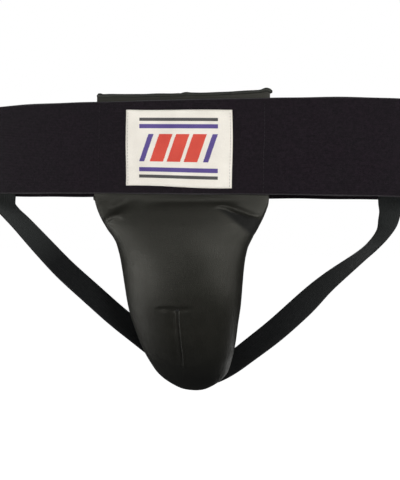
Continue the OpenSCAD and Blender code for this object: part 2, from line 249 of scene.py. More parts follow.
def mesh_object(name, verts, faces, material, uvs=None, flat=False):
    """A new object from points in mm. uvs has one row per vertex."""
    me = bpy.data.meshes.new(name)
    me.from_pydata((np.asarray(verts, float) * MM).tolist(), [], [list(map(int, f)) for f in faces])
    me.validate()
    if uvs is not None:
        layer = me.uv_layers.new(name="UVMap")
        idx = np.empty(len(me.loops), int)
        me.loops.foreach_get("vertex_index", idx)
        layer.data.foreach_set("uv", np.asarray(uvs, np.float32)[idx].ravel())
    me.polygons.foreach_set("use_smooth", np.full(len(me.polygons), not flat))
    me.update()
    me.materials.append(material)
    return linked(name, me)


def fix_normals(o):
    """Turn every face outwards, and give the object back."""
    bm = bmesh.new()
    bm.from_mesh(o.data)
    bmesh.ops.recalc_face_normals(bm, faces=bm.faces)
    bm.to_mesh(o.data)
    bm.free()
    return o


def grid_faces(rows, cols, offset=0, flip=False, closed=False):
    i = np.arange(rows - 1)[:, None]
    last = cols if closed else cols - 1
    j = np.arange(last)[None]
    k = (j + 1) % cols
    f = np.stack([i * cols + j, i * cols + k, (i + 1) * cols + k, (i + 1) * cols + j], -1)
    f = f.reshape(-1, 4) + offset
    return f[:, ::-1] if flip else f


def shell(name, outer, inner, material, uv=None):
    """Closed solid between two equal grids; outer faces out."""
    rows, cols = outer.shape[:2]
    size = rows * cols
    verts = np.concatenate([outer.reshape(-1, 3), inner.reshape(-1, 3)])
    faces = [grid_faces(rows, cols), grid_faces(rows, cols, size, flip=True)]
    a, j = np.arange(rows - 1) * cols, np.arange(cols - 1)
    b, k = a + cols - 1, (rows - 1) * cols + j
    for quad in ((a, a + cols, a + cols + size, a + size), (b, b + size, b + cols + size, b + cols),
                 (j, j + size, j + 1 + size, j + 1), (k, k + 1, k + 1 + size, k + size)):
        faces.append(np.stack(quad, -1))
    uvs = None if uv is None else np.concatenate([uv.reshape(-1, 2), uv.reshape(-1, 2)])
    return fix_normals(mesh_object(name, verts, np.concatenate(faces), material, uvs))


def tube_faces(rings, sides, base=0):
    """Faces of a tube with flat ends, its first corner numbered base."""
    last = base + (rings - 1) * sides
    return grid_faces(rings, sides, base, closed=True).tolist() + [
        list(range(base, base + sides))[::-1], list(range(last, last + sides))]


def ring_sweep(name, rings, material):
    """Solid tube of closed rings; rings has the shape (n, sides, 3)."""
    faces = tube_faces(*rings.shape[:2])
    return fix_normals(mesh_object(name, rings.reshape(-1, 3), faces, material))


def tube_rings(line, side, r_side, r_other, sides):
    """Rings round a line; side is the direction of the first radius at each point."""
    line = np.asarray(line, float)
    d = unit(np.gradient(line, axis=0))
    other = unit(np.cross(d, side))
    first = np.cross(other, d)
    a = np.linspace(0, 2 * math.pi, sides, endpoint=False)
    r_side = np.asarray(r_side, float) * np.ones(len(line))
    r_other = np.asarray(r_other, float) * np.ones(len(line))
    return (line[:, None] + first[:, None] * (np.cos(a)[None, :, None] * r_side[:, None, None])
            + other[:, None] * (np.sin(a)[None, :, None] * r_other[:, None, None]))


def stitches(name, spots, material, body, length, radius):
    """Sewn stitches. spots is a list of (centre, direction, outward normal), in mm."""
    rings, sides = 7, 8
    x = np.linspace(-1, 1, rings)
    a = np.linspace(0, 2 * math.pi, sides, endpoint=False)
    verts, faces = [], []
    for centre, along, out in spots:
        along = unit(np.asarray(along, float))
        out = unit(np.asarray(out, float))
        side = np.cross(along, out)
        base = len(verts)
        for xi in x:
            lift = radius * (1.15 * (1 - xi ** 2) - 0.55)
            r = radius * (1 - 0.35 * xi ** 4)
            c = centre + along * xi * length / 2 + out * lift
            for ai in a:
                verts.append(c + out * r * math.cos(ai) + side * r * math.sin(ai))
        faces += tube_faces(rings, sides, base)
    o = mesh_object(name, verts, faces, material)
    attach(o, body)
    return o


# ---- materials
class Nodes:
    """A material with a short way to add and join its nodes."""

    def __init__(self, name):
        self.mat = bpy.data.materials.new(name)
        self.mat.use_nodes = True
        self.tree = self.mat.node_tree
        self.tree.nodes.clear()
        self.bsdf = self.add("ShaderNodeBsdfPrincipled")
        out = self.add("ShaderNodeOutputMaterial")
        self.tree.links.new(self.bsdf.outputs["BSDF"], out.inputs["Surface"])

    def add(self, kind, **settings):
        node = self.tree.nodes.new(kind)
        for key, value in settings.items():
            setattr(node, key, value)
        return node

    def put(self, socket, value):
        if isinstance(value, bpy.types.NodeSocket):
            self.tree.links.new(value, socket)
        elif value is not None:
            socket.default_value = value

    def math(self, operation, a, b=None, clamp=False):
        node = self.add("ShaderNodeMath", operation=operation, use_clamp=clamp)
        self.put(node.inputs[0], a)
        self.put(node.inputs[1], b)
        return node.outputs[0]

    def times(self, a, b):
        return self.math("MULTIPLY", a, b)

    def total(self, *terms):
        """Sum of (value, weight) pairs."""
        value = self.times(*terms[0])
        for term in terms[1:]:
            value = self.math("ADD", value, self.times(*term))
        return value

    def sine(self, coordinate, wobble, pitch):
        """A wave along a coordinate that wobbles, once every pitch metres."""
        if wobble is not None:
            coordinate = self.math("ADD", coordinate, wobble)
        return self.math("SINE", self.times(coordinate, 2 * math.pi / pitch))

    def wobble(self, scale, size):
        return self.times(self.math("SUBTRACT", self.noise(scale, 2), 0.5), size)

    def parts(self, vector):
        node = self.add("ShaderNodeSeparateXYZ")
        self.put(node.inputs[0], vector)
        return node.outputs

    def mix(self, factor, a, b):
        node = self.add("ShaderNodeMix", data_type="RGBA")
        self.put(node.inputs[0], factor)
        for socket, value in ((node.inputs[6], a), (node.inputs[7], b)):
            self.put(socket, (*value, 1) if isinstance(value, tuple) else value)
        return node.outputs[2]

    def place(self):
        return self.add("ShaderNodeTexCoord").outputs["Object"]

    def uv(self):
        return self.parts(self.add("ShaderNodeUVMap", uv_map="UVMap").outputs[0])[:2]

    def noise(self, scale, detail):
        node = self.add("ShaderNodeTexNoise")
        self.put(node.inputs["Vector"], self.place())
        node.inputs["Scale"].default_value = scale
        node.inputs["Detail"].default_value = detail
        node.inputs["Roughness"].default_value = 0.55
        return node.outputs["Fac"]

    def cells(self, scale, feature="F1", vector=None):
        node = self.add("ShaderNodeTexVoronoi", feature=feature)
        self.put(node.inputs["Vector"], self.place() if vector is None else vector)
        node.inputs["Scale"].default_value = scale
        return node.outputs["Distance"]

    def span(self, value, lo, hi, out_lo=0.0, out_hi=1.0):
        node = self.add("ShaderNodeMapRange")
        node.clamp = True
        self.put(node.inputs["Value"], value)
        for key, v in (("From Min", lo), ("From Max", hi), ("To Min", out_lo), ("To Max", out_hi)):
            node.inputs[key].default_value = v
        return node.outputs["Result"]

    def bump(self, height, distance, strength):
        node = self.add("ShaderNodeBump")
        node.inputs["Strength"].default_value = strength
        node.inputs["Distance"].default_value = distance
        self.put(node.inputs["Height"], height)
        return node.outputs["Normal"]

    def finish(self, colour, rough, normal=None, **fixed):
        self.put(self.bsdf.inputs["Base Color"], colour)
        self.put(self.bsdf.inputs["Roughness"], rough)
        self.put(self.bsdf.inputs["Normal"], normal)
        for key, value in fixed.items():
            self.bsdf.inputs[key.replace("_", " ")].default_value = value
        return self.mat


def elastic(name, dark, light, rib=0.0016, pick=0.0011, half_width=0.0445,
            edge=(0.034, 0.031, 0.034), painted_sheen_colour=None):
    """Knitted elastic: fine ribs along it, picks across it, and fuzz."""
    m = Nodes(name)
    u, v = m.uv()
    wobble = m.wobble(900, 0.0007)
    across, along = m.sine(v, wobble, rib), m.sine(u, wobble, pick)
    weave = m.times(across, along)
    fuzz, broad, mottle = m.noise(1400, 3), m.noise(38, 3), m.noise(380, 2)
    height = m.total((weave, 0.5), (across, 0.35), (fuzz, 0.9))
    shade = m.total((fuzz, 0.40), (broad, 0.18), (mottle, 0.42), (weave, 0.12))
    colour = m.mix(m.span(shade, 0.4, 0.64), dark, light)
    if painted_sheen_colour:
        # painted sheen: the strap is painted lighter near the band, where the real strap catches
        # the light; stronger but shorter on the strap at -X
        x = m.parts(m.place())[0]
        far = m.times(u, m.span(x, -0.05, 0.05, 1.0, 0.6))
        painted_sheen_share = m.times(m.span(far, 0.01, 0.13, 0.95, 0.0), m.span(x, -0.05, 0.05, 1.0, 0.33))
        colour = m.mix(painted_sheen_share, colour, painted_sheen_colour)
    rim = m.span(m.math("ABSOLUTE", v), half_width - 0.0013, half_width - 0.0006)
    colour = m.mix(m.times(rim, m.span(fuzz, 0.3, 0.6, 0.5, 1.0)), colour, edge)
    rough = m.span(broad, 0.3, 0.7, 0.78, 0.92)
    return m.finish(colour, rough, m.bump(height, 0.0003, 0.85), Sheen_Weight=0.08,
                    Sheen_Roughness=0.45, Specular_IOR_Level=0.13)


def vinyl(name, dark, light, rough_lo=0.40, rough_hi=0.52, grain=1.0, painted_shade=False):
    """Leather-grain vinyl: small pebbled cells, fine creases, soft wear, and optional painted shade
    in a fold's pocket and at the tip.
    """
    m = Nodes(name)
    place = m.place()
    bend = m.add("ShaderNodeVectorMath", operation="ADD")
    jitter = m.add("ShaderNodeTexNoise")
    jitter.inputs["Scale"].default_value = 420
    scale = m.add("ShaderNodeVectorMath", operation="SCALE")
    m.put(scale.inputs[0], jitter.outputs["Color"])
    scale.inputs["Scale"].default_value = 0.0007
    m.put(jitter.inputs["Vector"], place)
    m.put(bend.inputs[0], place)
    m.put(bend.inputs[1], scale.outputs[0])
    cell = m.cells(820, "DISTANCE_TO_EDGE", bend.outputs[0])
    pebble = m.span(cell, 0.0, 0.22)
    fine, folds, broad, speck = m.noise(2600, 3), m.noise(95, 4), m.noise(24, 3), m.noise(520, 2)
    height = m.total((pebble, 0.8), (fine, 0.35), (folds, 0.5))
    shade = m.total((broad, 0.5), (pebble, 0.2), (speck, 0.35))
    colour = m.mix(m.span(shade, 0.35, 0.8), dark, light)
    rough = m.span(m.total((folds, 0.4), (broad, 0.25), (speck, 0.35)), 0.3, 0.7,
                   rough_lo, rough_hi)
    if painted_shade:
        x, _, z = m.parts(place)

        def beyond(point, normal, soft):
            """0 to 1 across a soft line through point in x and z, along its normal."""
            way = m.total((m.math("SUBTRACT", x, point[0]), normal[0]),
                          (m.math("SUBTRACT", z, point[1]), normal[1]))
            return m.span(way, 0.0, soft)

        # painted shade: darker, duller vinyl inside the pocket of the right fold, and a darker tip
        # where the cup turns down away from the light
        painted_pocket_shade = m.times(beyond((0.037, -0.0564), (-0.236, -0.972), 0.0016),
                         beyond((0.0375, -0.0585), (0.628, 0.779), 0.0045))
        # painted shade: the tip is painted darker towards the bottom, where the cup faces down away
        # from the light
        tip = m.span(z, -0.230, -0.178, 1.0, 0.0)
        colour = m.mix(tip, colour, (0.0022, 0.0024, 0.0023))
        colour = m.mix(m.times(painted_pocket_shade, 0.9), colour, (0.0036, 0.0038, 0.0046))
        rough = m.math("ADD", rough, m.times(painted_pocket_shade, 0.4), clamp=True)
        rough = m.math("ADD", rough, m.times(tip, 0.03), clamp=True)
    return m.finish(colour, rough, m.bump(height, 0.00016 * grain, 0.55),
                    Specular_IOR_Level=0.34, Specular_Tint=(1.0, 0.99, 0.88, 1))


def cloth(name, dark, light):
    """Fine knitted lining cloth."""
    m = Nodes(name)
    x, _, z = m.parts(m.place())
    wobble = m.wobble(500, 0.0008)
    knit = m.times(m.sine(x, wobble, 0.0012), m.sine(z, wobble, 0.0012))
    fuzz, broad = m.noise(1500, 3), m.noise(30, 3)
    height = m.math("ADD", m.times(knit, 0.5), fuzz)
    colour = m.mix(m.span(m.total((broad, 0.5), (fuzz, 0.5)), 0.35, 0.7), dark, light)
    return m.finish(colour, m.span(broad, 0.3, 0.7, 0.84, 0.95), m.bump(height, 0.0002, 0.7),
                    Sheen_Weight=0.25, Sheen_Roughness=0.5, Specular_IOR_Level=0.2)


def woven_label(name, dark, light):
    """Damask label cloth: very fine threads in both directions."""
    m = Nodes(name)
    x, _, z = m.parts(m.place())
    weave = m.times(m.sine(x, None, 0.00075), m.sine(z, None, 0.00055))
    fuzz, broad = m.noise(1800, 3), m.noise(45, 3)
    shade = m.total((broad, 0.5), (fuzz, 0.5), (weave, 0.12))
    height = m.math("ADD", m.times(weave, 0.6), fuzz)
    return m.finish(m.mix(m.span(shade, 0.3, 0.7), dark, light),
                    m.span(broad, 0.3, 0.7, 0.62, 0.75), m.bump(height, 0.00012, 0.6),
                    Specular_IOR_Level=0.3)


def thread(name, dark, light):
    """Twisted sewing thread."""
    m = Nodes(name)
    n = m.noise(3000, 2)
    return m.finish(m.mix(m.span(n, 0.35, 0.65), dark, light), m.span(n, 0.3, 0.7, 0.5, 0.7),
                    m.bump(n, 0.0001, 0.6), Sheen_Weight=0.05, Specular_IOR_Level=0.15)


def moulded(name, dark, light, rough=(0.42, 0.55), scale=700):
    """Moulded plastic or rubber with a fine texture."""
    m = Nodes(name)
    n = m.noise(scale, 4)
    broad = m.noise(30, 3)
    return m.finish(m.mix(m.span(broad, 0.3, 0.7), dark, light),
                    m.span(broad, 0.3, 0.7, *rough), m.bump(n, 0.00008, 0.5))


def foamed(name, dark, light):
    """Open foam cells."""
    m = Nodes(name)
    c = m.cells(900)
    broad = m.noise(40, 3)
    return m.finish(m.mix(m.span(broad, 0.3, 0.7), dark, light),
                    m.span(broad, 0.3, 0.7, 0.85, 0.95), m.bump(c, 0.0004, 0.7))


BAND_MAT = elastic("band_elastic", (0.0030, 0.0018, 0.0034), (0.0124, 0.0078, 0.0118))
# the strap elastic is painted lighter near the band: painted sheen
STRAP_MAT = elastic("strap_elastic", (0.0044, 0.0050, 0.0053), (0.0096, 0.0100, 0.0102),
                    rib=0.0021, pick=0.0012, half_width=0.012, edge=(0.016, 0.016, 0.017),
                    painted_sheen_colour=(0.071, 0.077, 0.074))
# the cover vinyl carries painted shade in the right fold's pocket and at its tip
VINYL_MAT = vinyl("cover_vinyl", (0.0078, 0.0076, 0.0062), (0.0135, 0.0131, 0.0106),
                  0.37, 0.53, painted_shade=True)
EDGE_MAT = vinyl("edge_vinyl", (0.014, 0.015, 0.013), (0.026, 0.027, 0.024), grain=0.7)
TAB_MAT = vinyl("tab_vinyl", (0.0070, 0.0070, 0.0062), (0.0120, 0.0120, 0.0105))
LINING_MAT = cloth("lining_knit", (0.010, 0.010, 0.011), (0.024, 0.024, 0.026))
LABEL_MAT = woven_label("label_cloth", (0.66, 0.62, 0.55), (0.82, 0.785, 0.71))
RED_MAT = woven_label("label_red", (0.50, 0.045, 0.030), (0.66, 0.085, 0.055))
BLUE_MAT = woven_label("label_blue", (0.060, 0.040, 0.180), (0.110, 0.075, 0.270))
DARK_FIGURE = woven_label("label_dark", (0.045, 0.045, 0.045), (0.085, 0.082, 0.080))
DARK_THREAD = thread("dark_thread", (0.0080, 0.0080, 0.0080), (0.0160, 0.0155, 0.0155))
GREY_THREAD = thread("grey_thread", (0.0070, 0.0058, 0.0072), (0.014, 0.0115, 0.014))
LIGHT_THREAD = thread("light_thread", (0.30, 0.29, 0.28), (0.44, 0.42, 0.40))
FOAM_MAT = foamed("foam_cells", (0.50, 0.47, 0.38), (0.62, 0.59, 0.50))
SHELL_MAT = moulded("shell_plastic", (0.022, 0.022, 0.026), (0.034, 0.034, 0.040))
RIM_MAT = moulded("rim_rubber", (0.014, 0.014, 0.015), (0.024, 0.024, 0.026), (0.6, 0.75), 1200)

for node, material in (("hard_cup", SHELL_MAT), ("rim_cushion", RIM_MAT)):
    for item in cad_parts[node].material_slots:
        item.material = material


# ---- waistband
def band_lift(s, z):
    """How far the hanging elastic stands off its plain loop, at length s and height z."""
    away = smooth(np.abs(s - LOOP_LEN / 2), 95, 190)
    ripple = 0.55 * np.sin(s / 41.0 + 0.8) * np.sin(z / 46.0 + 0.6)
    ripple += 0.30 * np.sin(s / 17.0) * np.cos(z / 30.0 + s / 60.0)
    return away * ripple


def build_waistband():
    start, end = -LAP / 2, LOOP_LEN + LAP / 2
    s = np.linspace(start, end, 420)
    lap = (BAND_T + 0.35) * smooth(s, LOOP_LEN - 62, LOOP_LEN - 24)
    half = BAND_H / 2
    z = np.linspace(-half, half, 44)
    # the woven edges are a little thinner, and rounded
    near_edge = half - np.abs(z)
    thick = BAND_T * (0.62 + 0.38 * smooth(near_edge, 0.0, 1.4))
    cord = 0.16 * bump_at(near_edge, 3.4, 0.8) + 0.10 * bump_at(near_edge, 6.2, 0.9)
    p, n = loop_at(s)
    wander = 0.22 * np.sin(s / 23.0) + 0.15 * np.sin(s / 9.7 + 1.0)
    zz = z[None] + wander[:, None] * np.sign(z)[None] * smooth(np.abs(z), 36, half)[None]
    zz = zz + REAR_RISE * smooth(p[:, 1], 8, 42)[:, None]
    lift = band_lift(s[:, None], z[None]) + lap[:, None]
    outer_q = lift + cord[None] - (BAND_T - thick)[None] / 2
    inner_q = lift - BAND_T + (BAND_T - thick)[None] / 2

    def lay(q, zs):
        return np.concatenate([p[:, None] + n[:, None] * q[..., None], zs[..., None]], -1)

    outer, inner = lay(outer_q, zz), lay(inner_q, zz)
    uv = np.stack(np.broadcast_arrays(s[:, None] * MM, zz * MM), -1)
    o = shell("waistband_elastic", outer, inner, BAND_MAT, uv)
    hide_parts("waistband")
    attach(o, "waistband")


def build_join():
    """Zigzag rows on the lap at centre back."""
    spots = []
    for x in (-10.0, 10.0):
        s = loop_s_near(x, LOOP_D)
        s = s if s > LOOP_LEN / 2 else s + LOOP_LEN
        p, n = loop_at(s)
        for i, zi in enumerate(np.arange(-40, 40.1, 2.4)):
            c = np.array([*(p + n * (BAND_T + 0.55)), zi + REAR_RISE])
            spots.append((c, (0.75 if i % 2 else -0.75, 0, 1.0), (n[0], n[1], 0)))
    o = stitches("waistband_join_threads", spots, DARK_THREAD, "waistband", length=3.1, radius=0.3)
    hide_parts("waistband_join_stitching")


# ---- label
def label_lift(x, z):
    """The label lies flat but for a faint curl at its corners and edges."""
    edge = smooth(np.abs(x), 40, LABEL_W / 2) * smooth(np.abs(z), 26, LABEL_H / 2)
    return 0.20 + 0.45 * edge + 0.07 * np.sin(x / 9.0) * np.sin(z / 11.0)


def label_point(x, z, out):
    """A point over the label's middle plane: x and z count from the label's own middle."""
    gx = x + 0.35 * np.sin(z / 14.0 + 1.0) * np.sign(x) * smooth(np.abs(x), 40, 51)
    gz = z + 0.30 * np.sin(x / 17.0) * np.sign(z) * smooth(np.abs(z), 28, 36.5)
    gz = gz - 2.2 * smooth(x, -51, 51) * smooth(-z, -10, 37)
    sag = LABEL_SAG * (0.5 + gx / LABEL_W) * (0.5 + gz / LABEL_H)
    lean = LABEL_LEAN * (0.2 - gz / LABEL_H)
    gx, gz = gx + LABEL_X + lean, gz + LABEL_Z - sag
    return np.stack([gx, front_y(gx) - out, gz], -1)


def build_label():
    x = np.linspace(-LABEL_W / 2, LABEL_W / 2, 61)
    z = np.linspace(-LABEL_H / 2, LABEL_H / 2, 45)
    gx, gz = np.meshgrid(x, z)
    rim = np.minimum(LABEL_W / 2 - np.abs(gx), LABEL_H / 2 - np.abs(gz))
    body = LABEL_T * (0.55 + 0.45 * smooth(rim, 0, 0.9))
    outer = label_point(gx, gz, label_lift(gx, gz) + body)
    inner = label_point(gx, gz, label_lift(gx, gz) * 0.5)
    o = shell("label_patch", outer, inner, LABEL_MAT)
    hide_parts("label")
    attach(o, "waistband")

    def patch(name, inside, material):
        """A raised woven figure on the label, filled cell by cell."""
        xs, zs = np.arange(-46, 46.01, 0.5), np.arange(-32, 32.01, 0.5)
        cx, cz = np.meshgrid((xs[:-1] + xs[1:]) / 2, (zs[:-1] + zs[1:]) / 2)
        keep = inside(cx, cz)
        vx, vz = np.meshgrid(xs, zs)
        base = label_lift(vx, vz) + LABEL_T
        top = label_point(vx, vz, base + 0.12).reshape(-1, 3)
        low = label_point(vx, vz, base - 0.1).reshape(-1, 3)
        cols, size = len(xs), top.shape[0]
        faces = []
        padded = np.pad(keep, 1)
        for i, j in np.argwhere(keep):
            a, b = i * cols + j, i * cols + j + 1
            c, d = a + cols, b + cols
            faces += [[a, b, d, c], [size + a, size + c, size + d, size + b]]
            walls = (((0, 1), [a, size + a, size + b, b]), ((2, 1), [c, d, size + d, size + c]),
                     ((1, 0), [a, c, size + c, size + a]), ((1, 2), [b, size + b, size + d, d]))
            faces += [wall for (di, dj), wall in walls if not padded[i + di, j + dj]]
        used = sorted({k for f in faces for k in f})
        number = {k: n for n, k in enumerate(used)}
        verts = np.concatenate([top, low])[used]
        q = fix_normals(mesh_object(name, verts, [[number[k] for k in f] for f in faces],
                                    material, flat=True))
        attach(q, "waistband")

    def slanted(cx, cz, middle, wide, high):
        return (np.abs(cx - 0.35 * cz - middle) < wide / 2) & (np.abs(cz) < high / 2)

    patch("label_figure_dark", lambda cx, cz: (np.abs(np.abs(cz) - 27) < 1.6)
          & (np.abs(cx) < 38), DARK_FIGURE)
    patch("label_figure_blue", lambda cx, cz: ((np.abs(np.abs(cz) - 20.6) < 1.9)
          & (np.abs(cx) < 38)) | slanted(cx, cz, -31, 5, 26) | slanted(cx, cz, 31, 5, 26),
          BLUE_MAT)
    patch("label_figure_red", lambda cx, cz: slanted(cx, cz, -16.5, 13, 26)
          | slanted(cx, cz, 0, 13, 26) | slanted(cx, cz, 16.5, 13, 26), RED_MAT)

    spots = []
    for side in (-1, 1):
        for zi in np.arange(-34, 34.1, 2.9):
            xi = side * (LABEL_W / 2 - 2)
            c = label_point(np.array(xi), np.array(zi), label_lift(xi, zi) + LABEL_T)
            spots.append((c, (0, 0, 1), front_out(xi)))
    o = stitches("label_threads", spots, LIGHT_THREAD, "waistband", length=2.0, radius=0.24)
    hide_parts("label_stitching")


def build_panel_rows():
    """Two upright seams that hold the elastic to the panel."""
    spots = []
    for side in (-1, 1):
        for zi in np.arange(-41, 41.1, 3.6):
            xi = side * SEAM_X + 0.25 * math.sin(zi / 7.0)
            s = loop_s_near(xi, -LOOP_D)
            lift = float(band_lift(np.array(s), np.array(zi)))
            c = np.array([xi, front_y(xi) - lift - 0.05, zi])
            spots.append((c, (0, 0, 1), front_out(xi)))
    o = stitches("panel_seam_threads", spots, GREY_THREAD, "waistband", length=2.5, radius=0.26)
    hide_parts("panel_stitching")


# ---- panel and cup cover
def beside(p, line):
    """Distance of 2-D points p below a line of points (negative above it), and how far along it."""
    line = np.asarray(line, float)
    best = np.full(p.shape[:-1], 1e9)
    signed, along = np.zeros_like(best), np.zeros_like(best)
    for i in range(len(line) - 1):
        a, b = line[i], line[i + 1]
        d = b - a
        t = np.clip(((p - a) @ d) / (d @ d), 0, 1)
        off = p - (a + t[..., None] * d)
        dist = np.linalg.norm(off, axis=-1)
        near = dist < best
        best = np.where(near, dist, best)
        signed = np.where(near, np.where(d[0] * off[..., 1] - d[1] * off[..., 0] < 0, dist, -dist),
                          signed)
        along = np.where(near, (i + t) / (len(line) - 1), along)
    return signed, along


# where the vinyl folds as it turns from the flat panel over the cup's top corners: x, z
LEFT_VALLEY = ((-70, -60), (-65, -58), (-60, -55.8), (-55, -53.6), (-48, -51.6), (-34, -50))
LEFT_RIDGE = ((-74, -72.5), (-70, -70.5), (-66, -68.6), (-62, -66.8), (-56, -65.5), (-52, -68),
              (-49, -72))
TOP_DIP = ((-46, -53), (-18, -50.8), (7, -49.6), (30, -48.8), (45, -49.5), (60, -52))
RIGHT_RIDGE = ((30, -58), (37, -56.2), (45, -55.6), (53.5, -58), (60, -60.5), (67.5, -63.5),
               (75, -65))
POCKET = ((36, -57.5), (41, -59), (46.5, -62), (51, -65), (56, -69), (62.5, -74), (69, -80),
          (73, -85))
DART = ((1.8, -154), (0.8, -164), (0, -178), (-0.4, -190), (-1.2, -204), (-2.6, -215))
CROSS = ((-24, -152), (-16, -151), (-8, -150.6), (2, -150.8), (11, -150), (18, -148.5))


def cover_relief(g):
    """Creases, dart and soft swelling of the vinyl, in mm outwards, for grid points g."""
    x, z = g[..., 0], g[..., 2]
    p = np.stack([x, z], -1)
    out = np.zeros_like(x)

    # left corner: a soft hollow with a short firm fold under it
    d, t = beside(p, LEFT_VALLEY)
    out -= (2.4 * smooth(t, -0.1, 0.4) * (1 - smooth(t, 0.6, 1.0))
            * bump_at(d, 0, np.where(d > 0, 5.6, 4.2)))
    d, t = beside(p, LEFT_RIDGE)
    out += (1.6 * smooth(t, 0, 0.2) * (1 - smooth(t, 0.55, 1.0))
            * bump_at(d, 0, np.where(d > 0, 1.7, 4.0)))
    # a shallow dip under the band from side to side
    d, t = beside(p, TOP_DIP)
    out -= 1.7 * smooth(t, 0.0, 0.25) * (1 - smooth(t, 0.75, 1.0)) * bump_at(d, 0, 5.2)

    # right corner: the panel's edge hangs over a pocket that widens to the side
    d, t = beside(p, RIGHT_RIDGE)
    low, _ = beside(p, POCKET)
    depth = np.clip(d, 0, None) / np.maximum(np.clip(d, 0, None) + np.clip(-low, 0, None), 0.5)
    depth = np.where(low > 0, 1 + low / 6.0, depth)
    drop = smooth(depth, 0.0, 0.2) * (1 - smooth(depth, 0.15, 1.25)) * (d > 0)
    out -= (1.6 + 3.2 * smooth(x, 40, 62)) * smooth(x, 33, 44) * (1 - smooth(x, 64, 74)) * drop
    out += 1.5 * smooth(t, 0, 0.35) * bump_at(d, 0, np.where(d > 0, 1.3, 3.2))

    # the dart: a closed seam down the lower front with a firm lip on its right
    d, t = beside(p, DART)
    open_part = smooth(t, 0.0, 0.02) * (1 - 0.8 * smooth(t, 0.85, 1.0))
    out -= 1.2 * open_part * bump_at(d, 0, 0.75)
    out += 0.4 * open_part * bump_at(-d, 1.9, 1.1)
    out -= 0.9 * open_part * (1 - 0.6 * t) * bump_at(d, 4.5, 4.5)
    # the cross fold above it: the upper part bulges over the lower part
    d, t = beside(p, CROSS)
    ends = smooth(t, 0.0, 0.3) * (1 - smooth(t, 0.7, 1.0))
    out += ends * np.where(d < 0, 0.45 * bump_at(d, 0, 4.0), 0.45 * bump_at(d, 0, 0.9))
    out -= ends * 0.8 * bump_at(d, 2.8, 2.6)
    # broad unevenness of sewn padding
    front = smooth(-g[..., 1], -40, 20)
    out += 0.35 * np.sin(x / 17.0 + 0.5) * np.sin(z / 23.0) * front
    out += 0.14 * np.sin(x / 7.5 + z / 13.0) * front
    return np.maximum(out, -4.2)


def line_positions(start, end, step, fine):
    """Positions along the front line about step mm apart, closer at the tip's rounding."""
    u = np.linspace(start, end - TIP_LEN, 4000)
    length = lengths(spline(STATIONS, u)[:, :2])
    n = int(length[-1] / step)
    head = np.interp(np.linspace(0, length[-1], n), length, u)
    a = np.linspace(0, math.pi / 2, fine + 1)[1:]
    return np.concatenate([head, end - TIP_LEN + TIP_LEN * np.sin(a)])


def across_positions():
    """Positions from side to side, close together near the dart."""
    inner = np.concatenate([np.arange(0, 12, 0.5), np.arange(12, 30, 1.25)]) / 57.0
    v = WALL_V * np.arcsin(inner ** (CUP_N / 2)) * 2 / math.pi
    rest = np.linspace(v[-1], WALL_V, 46)[1:]
    wall = np.linspace(WALL_V, 1, 9)[1:]
    half = np.concatenate([v, rest, wall])
    return np.concatenate([-half[:0:-1], half])


def cover_surface():
    """The cover's outer face, the same face before its creases, normals of both, and positions."""
    us = line_positions(0.0, TIP_U, 1.1, 30)
    vs = across_positions()
    plain = body_grid(us, vs, 0.0, 3.0, radius=7.0)
    plain[..., 2] += top_rise(plain[..., 0]) * smooth(plain[..., 2], 44, 48.5)
    lean = 1.2 * smooth(-plain[..., 2], 66, 90) * (1 - smooth(-plain[..., 2], 130, 165))
    plain[..., 0] += lean
    n0 = front_normals(plain)
    shown = smooth(-plain[..., 2], 42, 50)
    g = plain + n0 * (cover_relief(plain) * shown)[..., None]
    n = front_normals(g)
    return g, n, plain, n0, us, vs


def build_cover(surface):
    g, n, _, _, us, vs = surface
    uv = np.stack(np.meshgrid(vs * 0.08, us * 0.0164), -1)
    o = shell("cup_cover_vinyl", g, g - n * COVER_T, VINYL_MAT, uv)
    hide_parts("cup_cover", "panel_cover")
    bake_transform(o)


def build_foam(surface):
    """Foam between the cover and the hard cup, and behind the flat panel, in its two bodies."""
    g, n, plain, n0, us, vs = surface
    for name, node, body, lo, hi, deep in (
            ("cup_foam_pad", "cup_foam", "cup", CUP_START_U + 0.15, end_of(4.2), 6.3),
            ("panel_foam_pad", "panel_padding", "waistband", 0.3, PANEL_END_U - 0.1, 4.5)):
        rows = np.flatnonzero((us > lo) & (us < hi))
        cols = np.flatnonzero(np.abs(vs) < 0.82)
        pick = np.ix_(rows, cols)
        outer = g[pick] - n[pick] * (COVER_T + 0.45)
        inner = plain[pick] - n0[pick] * deep
        o = shell(name, outer, inner, FOAM_MAT)
        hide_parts(node)
        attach(o, body)


